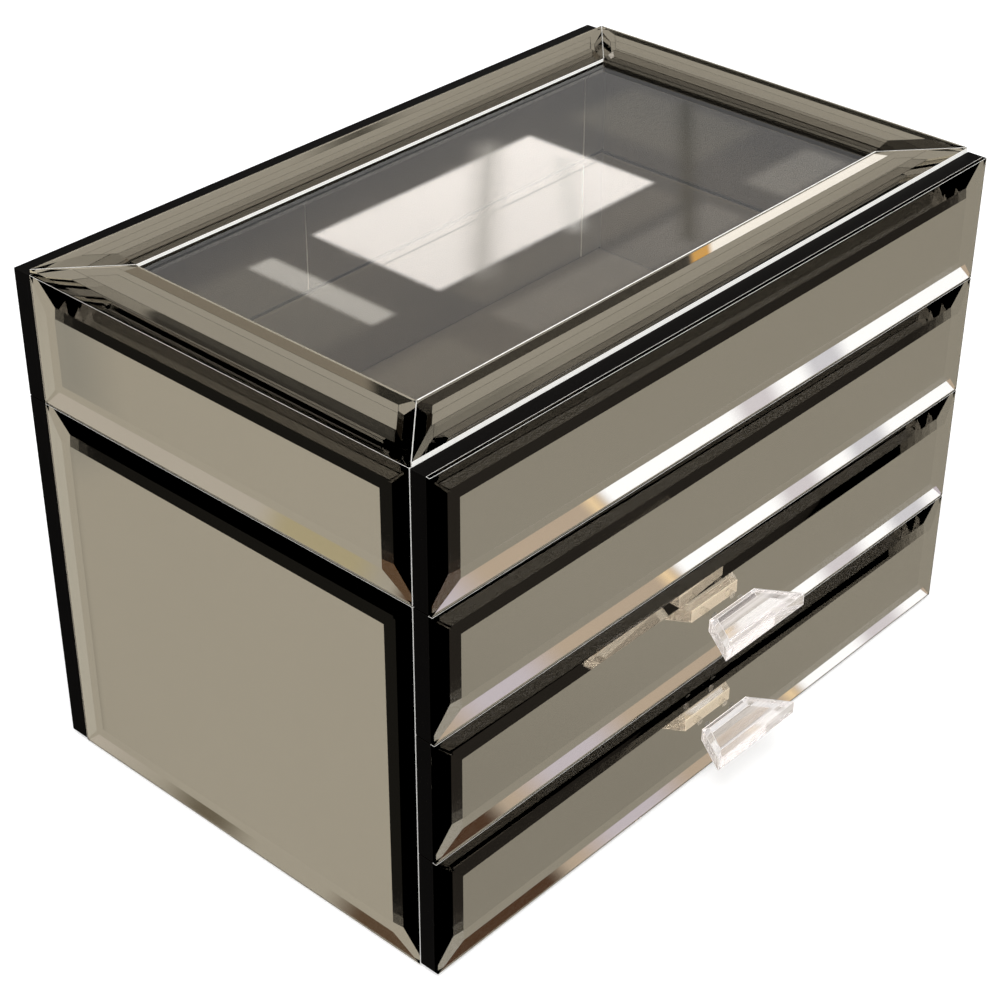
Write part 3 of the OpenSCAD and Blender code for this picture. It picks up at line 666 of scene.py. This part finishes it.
# The pull glows by itself, a painted glow, weakly at the front and strongly at its white back.
painted_glow_strength = add(tree, "MapRange", {"Value": at_back.outputs[0], "To Min": 0.3, "To Max": 1.1})
milk_with_painted_glow = add(tree, "BsdfPrincipled", {
    "Base Color": milk_glow_tone.outputs["Color"], "Roughness": 0.25,
    "Emission Color": milk_glow_tone.outputs["Color"], "Emission Strength": painted_glow_strength.outputs["Result"]})
milky = add(tree, "MapRange", {"Value": streaks.outputs["Fac"], "From Min": 0.35, "From Max": 0.65,
                               "To Min": 0.12, "To Max": 0.42})
share = add(tree, "MixRGB", {
    "Fac": at_back.outputs[0], "Color1": milky.outputs["Result"], "Color2": (BRIGHT_BACK_SHARE,) * 3 + (1,)})
shader = add(tree, "MixShader", {
    0: share.outputs["Color"], 1: clear_part.outputs[0], 2: milk_with_painted_glow.outputs[0]})
add(tree, "OutputMaterial", {"Surface": shader.outputs[0]})
dress(crystal, "upper_handle", "lower_handle")

# %% Bonding resin
# Each pull stands on two drops of clear resin, cast between pull and mirror, which hardly show.
resin, tree, place = start_material("clear_bonding_resin")
cloud = add(tree, "TexNoise", {"Vector": place, "Scale": 1 / (1.5 * MM), "Detail": 2})
cloudy = add(tree, "MapRange", {"Value": cloud.outputs["Fac"], "From Min": 0.3, "From Max": 0.7,
                                "To Min": 0.08, "To Max": 0.2})
through = add(tree, "BsdfTransparent", {"Color": (0.97, 0.97, 0.96, 1)})
drop = add(tree, "BsdfPrincipled", {"Base Color": linear("#efece8"), "Roughness": 0.3})
shader = add(tree, "MixShader", {
    0: cloudy.outputs["Result"], 1: through.outputs[0], 2: drop.outputs[0]})
add(tree, "OutputMaterial", {"Surface": shader.outputs[0]})
dress(resin, "upper_handle_collars", "lower_handle_collars")

# %% Crystal arrises
# The wheel grinds each edge of a pull to a narrow matt arris, which shows as a thin white line; the line also
# glows by itself, a painted highlight.
arris_with_glow, tree, place = start_material("ground_crystal_arris_painted_glow")
grain = add(tree, "TexNoise", {"Vector": place, "Scale": 1 / (0.8 * MM), "Detail": 3})
arris_glow_tone = add(tree, "MixRGB", {
    "Fac": grain.outputs["Fac"], "Color1": linear("#efe9e4"), "Color2": linear("#ffffff")})
shader = add(tree, "BsdfPrincipled", {
    "Base Color": arris_glow_tone.outputs["Color"], "Roughness": 0.5,
    "Emission Color": arris_glow_tone.outputs["Color"], "Emission Strength": 0.35})
add(tree, "OutputMaterial", {"Surface": shader.outputs[0]})


def every_edge(normals, ends):
    """All edges of a solid."""
    return True


drawn = 0
for level in ("upper", "lower"):
    drawn += arris(level + "_handle_arrises", level + "_handle", level + "_drawer", every_edge, arris_with_glow,
                   radius=0.12 * MM, inset=0.28 * MM)
print("crystal arrises:", drawn)

# %% [markdown]
# ## The pane in the lid
# The lid's opening holds a sheet of plain glass, and the linings show dimly through it. Lamps must shine
# through it into the box. Light bent by the glass could be traced, but that takes very many samples, so shadow
# rays pass straight through instead.

# %% The window pane
# Clear float glass that lies loose in its rebate: smooth, with a trace of haze where it was wiped.
pane, tree, place = start_material("clear_window_glass")
pane_marks = add(tree, "TexNoise", {"Vector": place, "Scale": 1 / (25 * MM), "Detail": 3})
pane_haze = add(tree, "MapRange", {"Value": pane_marks.outputs["Fac"], "From Min": 0.4, "From Max": 0.8,
                                   "To Min": 0.0, "To Max": 0.02})
clear = add(tree, "BsdfPrincipled", {
    "Base Color": linear("#fdf8ef"), "Roughness": pane_haze.outputs["Result"], "IOR": GLASS_IOR,
    "Transmission Weight": 1.0})
ray = add(tree, "LightPath")
let_through = add(tree, "BsdfTransparent", {"Color": (0.9, 0.9, 0.9, 1)})
shader = add(tree, "MixShader", {
    0: ray.outputs["Is Shadow Ray"], 1: clear.outputs["BSDF"], 2: let_through.outputs["BSDF"]})
add(tree, "OutputMaterial", {"Surface": shader.outputs[0]})
dress(pane, "window_pane")
print("pane lets shadow rays through")

# %% [markdown]
# ## The studio in the mirrors
# A mirror box shows its surroundings more than itself. The camera and the diffuse surfaces see a plain white
# studio. Glossy and transmission rays see a dome of soft cards and black flags, as a photographer puts them up
# round a mirror: each one stands in the direction in which one face or bevel of the box looks. A direction is
# a bearing from +Y toward +X and a height over the horizon, both in degrees.

# %% Dome helpers
world = bpy.data.worlds.new("studio")
scene.world = world
world.use_nodes = True
tree = world.node_tree
tree.nodes.clear()
toward = add(tree, "SeparateXYZ", {"Vector": add(tree, "TexCoord").outputs["Generated"]})
DEGREES = 180 / math.pi


def inside(value, middle, half, soft):
    """1 within half of the middle, 0 outside it, with a soft edge."""
    away = add(tree, "VectorMath", {0: value, 1: (middle,) * 3}, operation="SUBTRACT")
    away = add(tree, "VectorMath", {0: away.outputs[0]}, operation="ABSOLUTE")
    edge = add(tree, "MapRange", {
        "Vector": away.outputs[0], 7: (half + soft / 2,) * 3, 8: (half - soft / 2,) * 3},
        data_type="FLOAT_VECTOR", interpolation_type="SMOOTHSTEP", clamp=True)
    return edge.outputs["Vector"]


def turned(across, along, angle):
    """Both coordinates after a turn, so that a card may stand at a slant."""
    c, s = math.cos(math.radians(angle)), math.sin(math.radians(angle))
    sides = []
    for pair in ((c, s), (-s, c)):
        parts = [add(tree, "VectorMath", {0: value, 1: (k,) * 3}, operation="MULTIPLY").outputs[0]
                 for value, k in zip((across, along), pair)]
        sides.append(add(tree, "VectorMath", {0: parts[0], 1: parts[1]}, operation="ADD").outputs[0])
    return sides


def card(under, colour, across, along, middle, half, soft, angle=0):
    """Lay one card over what is under it; its numbers are in degrees, or slopes for the window."""
    if angle:
        across, along = turned(across, along, angle)
        c, s = math.cos(math.radians(angle)), math.sin(math.radians(angle))
        middle = (middle[0] * c + middle[1] * s, middle[1] * c - middle[0] * s)
    masks = {0: inside(across, middle[0], half[0], soft), 1: inside(along, middle[1], half[1], soft)}
    mask = add(tree, "VectorMath", masks, operation="MULTIPLY").outputs[0]
    gap = add(tree, "VectorMath", {0: tuple(colour), 1: under}, operation="SUBTRACT")
    part = add(tree, "VectorMath", {0: gap.outputs[0], 1: mask}, operation="MULTIPLY")
    return add(tree, "VectorMath", {0: under, 1: part.outputs[0]}, operation="ADD").outputs[0]


# A card is mixed in for red, green and blue at once, so each coordinate is copied to three channels.
height = add(tree, "Math", {0: toward.outputs["Z"]}, operation="ARCSINE")
height = add(tree, "Math", {0: height.outputs[0], 1: DEGREES}, operation="MULTIPLY").outputs[0]
height = add(tree, "CombineXYZ", dict.fromkeys(range(3), height)).outputs[0]
bearing = add(tree, "Math", {0: toward.outputs["X"], 1: toward.outputs["Y"]}, operation="ARCTAN2")
bearing = add(tree, "Math", {0: bearing.outputs[0], 1: DEGREES}, operation="MULTIPLY").outputs[0]
bearing = add(tree, "CombineXYZ", dict.fromkeys(range(3), bearing)).outputs[0]
print("dome helpers ready")

# %% Cards and flags
# Each row is a name, a colour, the middle and half size, the soft edge, and the slant. Values are light levels,
# where 1 is white paper in full light.
CARDS = [
    ("top_wall", (0.46, 0.46, 0.465), (50, 32), (48, 34), 8, 0),
    ("mitre_dark_high", (0.012, 0.010, 0.008), (73.5, 34.3), (5, 5), 0.5, 0),
    ("mitre_dark_mid", (0.012, 0.010, 0.008), (63.5, 27.8), (3.5, 3.5), 0.5, 0),
    ("mitre_dark_low", (0.012, 0.010, 0.008), (28, 24.8), (4.5, 4), 0.5, 0),
    ("side_wall", (0.555, 0.55, 0.54), (-42, -33), (34, 28), 4, 0),
    ("front_wall", (0.42, 0.42, 0.42), (130, -36), (36, 22), 4, 0),
    ("front_wall_foot", (0.37, 0.37, 0.37), (128, -45), (16, 7), 6, 0),
    ("side_flag", (0.015, 0.015, 0.015), (-20, -44), (15, 15), 0.6, 0),
    ("front_flag", (0.03, 0.028, 0.028), (101, -45), (16.9, 17), 0.8, 0),
    ("front_flag_slant", (0.03, 0.028, 0.028), (112.3, -41.4), (11, 6.5), 1.0, -38),
    ("low_glow", (0.75, 0.65, 0.6), (135.7, -5.1), (15.1, 10.5), 1.2, -38),
    ("low_bronze", (0.1, 0.05, 0.03), (146.0, -21.4), (3, 4), 0.8, -38),
    ("low_lilac", (0.85, 0.84, 1.12), (145.6, -12.8), (1.3, 10), 1.6, -38),
    ("low_white", (1.75, 1.92, 2.4), (127.1, 2.9), (18.4, 11.5), 0.5, -38),
    ("low_orange", (1.4, 1.15, 0.85), (141.8, -8.7), (0.15, 11.5), 0.5, -38),
    ("low_bar_near", (1.02, 1.1, 1.45), (132.3, -7), (0.45, 9), 0.5, 0),
    ("low_bar_far", (1.05, 1.08, 1.4), (134.1, -7), (0.5, 9), 0.6, 0),
    ("mitre_bronze", (0.09, 0.055, 0.03), (125.6, -24.9), (1.0, 0.9), 0.5, 0),
    ("side_low", (0.69, 0.68, 0.7), (-46.6, -12), (3.6, 5), 1.5, 0),
    ("side_warm", (0.61, 0.57, 0.42), (-51.0, -14), (1.3, 2.4), 1.0, 0),
    ("side_lid_end", (0.12, 0.06, 0.03), (-54.8, -15.8), (1.6, 1.2), 0.6, 0),
    ("side_case_end", (0.14, 0.09, 0.06), (-57.6, -21.4), (2.6, 2.0), 1.2, 0),
    ("side_case_dim", (0.2, 0.18, 0.15), (-51.2, -18.3), (0.8, 1.6), 1.4, 0),
    ("side_back", (0.66, 0.67, 0.68), (-67, -34), (3.5, 9), 2, 0),
    ("side_far", (0.43, 0.44, 0.45), (-35.0, -29.6), (1.2, 2.2), 1.8, 0),
    ("side_bronze", (0.14, 0.08, 0.045), (-36.6, -25.2), (1.3, 1.0), 0.6, 0),
    ("high_left", (0.29, 0.27, 0.25), (16, 45), (7, 3.8), 1.5, 0),
    ("high_black", (0.02, 0.02, 0.018), (34.4, 51.4), (12, 4.7), 0.7, 0),
    ("high_blob", (0.06, 0.06, 0.055), (65.2, 46.6), (1.1, 1.8), 3.0, 0),
    ("high_flag", (0.055, 0.052, 0.05), (70.3, 48.5), (8, 3.5), 0.8, -29),
    ("high_white", (1.55, 1.6, 1.8), (82.2, 41.6), (5.5, 3.9), 0.4, -29),
    ("high_orange", (1.0, 0.6, 0.2), (77.4, 44.3), (0.35, 3.9), 0.3, -29),
    ("low_strip", (0.4, 0.4, 0.4), (43, 7.5), (4, 7.5), 1.5, 0),
    ("low_strip_end", (0.28, 0.28, 0.28), (39, 13.5), (2.6, 3), 1.5, 0),
    ("low_strip_flag", (0.05, 0.05, 0.05), (50.2, 11.9), (4.9, 4.3), 0.5, 0),
]
BARE_DOME = (0.75, 0.75, 0.76)  # where no card stands
seen_colour = add(tree, "CombineXYZ", dict(enumerate(BARE_DOME))).outputs[0]
for name, colour, middle, half, soft, slant in CARDS:
    seen_colour = card(seen_colour, colour, bearing, height, middle, half, soft, slant)
print("cards:", len(CARDS))

# %% [markdown]
# ## The window in the pane
# A window stands behind the box and shows in the pane. A lit plane could be modelled there, but it would also
# light the box. Cards in the world are seen by mirror and glass alone. They lie on a plane overhead, so their
# places are slopes: X over Z and Y over Z of the direction.

# %% The window
# A branch outside draws soft dark bands across the sky.
up = add(tree, "Math", {0: toward.outputs["Z"], 1: 0.05}, operation="MAXIMUM")
slope_x = add(tree, "Math", {0: toward.outputs["X"], 1: up.outputs[0]}, operation="DIVIDE").outputs[0]
slope_x = add(tree, "CombineXYZ", dict.fromkeys(range(3), slope_x)).outputs[0]
slope_y = add(tree, "Math", {0: toward.outputs["Y"], 1: up.outputs[0]}, operation="DIVIDE").outputs[0]
slope_y = add(tree, "CombineXYZ", dict.fromkeys(range(3), slope_y)).outputs[0]
PANES = [
    ("left_pane", (0.62, 0.61, 0.58), (1.235, 1.387), (0.055, 0.085), 0.03, 0),
    ("left_strip", (2.0, 1.95, 1.85), (1.275, 1.384), (0.015, 0.083), 0.010, 0),
    ("right_pane", (0.60, 0.59, 0.56), (1.787, 1.387), (0.055, 0.085), 0.03, 0),
    ("low_middle", (0.62, 0.60, 0.57), (1.509, 1.275), (0.15, 0.022), 0.02, 0),
    ("low_row_left", (0.62, 0.61, 0.58), (1.235, 1.209), (0.055, 0.027), 0.02, 0),
    ("low_row", (0.75, 0.73, 0.70), (1.509, 1.209), (0.159, 0.027), 0.02, 0),
    ("low_row_right", (0.85, 0.83, 0.79), (1.787, 1.209), (0.055, 0.027), 0.02, 0),
    ("branch", (0.30, 0.30, 0.28), (1.72, 1.30), (0.17, 0.006), 0.03, 39),
    ("sky", (3.9, 3.75, 3.65), (1.509, 1.3875), (0.159, 0.085), 0.010, 0),
    ("near_branch", (1.7, 1.65, 1.55), (1.511, 1.392), (0.150, 0.006), 0.050, 41),
    ("far_branch", (3.0, 2.95, 2.85), (1.592, 1.3525), (0.085, 0.004), 0.038, 45),
    ("glazing_bar", (2.6, 2.55, 2.45), (1.509, 1.3775), (0.157, 0.0012), 0.0016, 0),
]
for name, colour, middle, half, soft, slant in PANES:
    seen_colour = card(seen_colour, colour, slope_x, slope_y, middle, half, soft, slant)
print("window panes:", len(PANES))

# %% [markdown]
# ## Background, floor and lamps
# The box stands before plain white. More light would bleach it, so the camera sees a world and a floor that
# are white by themselves. A low, even sky and two soft lamps light the box, and the floor keeps its shadow.

# %% World output
# The camera sees white, mirror and glass see the dome, and every other surface is lit by the low sky.
seen = add(tree, "Background", {"Color": seen_colour})
lit = add(tree, "Background", {"Color": (1, 1, 1, 1), "Strength": 0.5})
plain = add(tree, "Background", {"Color": (1, 1, 1, 1), "Strength": 1.0})
ray = add(tree, "LightPath")
glossy, passing = ray.outputs["Is Glossy Ray"], ray.outputs["Is Transmission Ray"]
shiny = add(tree, "Math", {0: glossy, 1: passing}, operation="MAXIMUM")
mixed = add(tree, "MixShader", {0: shiny.outputs[0], 1: lit.outputs[0], 2: seen.outputs[0]})
mixed = add(tree, "MixShader", {0: ray.outputs["Is Camera Ray"], 1: mixed.outputs[0], 2: plain.outputs[0]})
add(tree, "OutputWorld", {"Surface": mixed.outputs[0]})
print("studio world ready, nodes:", len(tree.nodes))

# %% Floor
# A wide white sheet, part painted and part lit from itself, so that it meets the white background and still
# keeps the box's shadow. Mirror and glass see the dome below the horizon in its place.
FLOOR_RADIUS = 6  # metres
floor_mesh = bpy.data.meshes.new("floor")
shape = bmesh.new()
bmesh.ops.create_circle(shape, cap_ends=True, radius=FLOOR_RADIUS, segments=64)
shape.to_mesh(floor_mesh)
shape.free()
floor_white, tree, place = start_material("white_floor")
painted = add(tree, "BsdfDiffuse", {"Color": (0.8, 0.8, 0.8, 1)})
glow = add(tree, "Emission", {"Color": (1, 1, 1, 1), "Strength": 0.55})
shader = add(tree, "AddShader", {0: painted.outputs[0], 1: glow.outputs[0]})
add(tree, "OutputMaterial", {"Surface": shader.outputs[0]})
floor = show("floor", floor_mesh, floor_white)
floor.visible_glossy = False
floor.visible_transmission = False
floor.visible_diffuse = False
print("floor ready")

# %% Lamps
# A large soft key lamp over the camera's shoulder and a weaker fill from the right; neither shows in a mirror.
def lamp(name, place, aim, size, power):
    """A round soft lamp that looks from place to aim."""
    data = bpy.data.lights.new(name, "AREA")
    data.shape, data.size, data.energy = "DISK", size, power
    made = bpy.data.objects.new(name, data)
    facing = (Vector(aim) - Vector(place)).to_track_quat("-Z", "Y").to_matrix().to_4x4()
    made.matrix_world = Matrix.Translation(place) @ facing
    made.visible_glossy = False
    made.visible_transmission = False
    scene.collection.objects.link(made)


lamp("key_lamp", place=(-0.6, -0.5, 1.5), aim=(0, 0, 0.1), size=0.9, power=14)
lamp("fill_lamp", place=(1.2, -0.8, 0.9), aim=(0, 0, 0.1), size=0.9, power=5)
print("lamps ready")
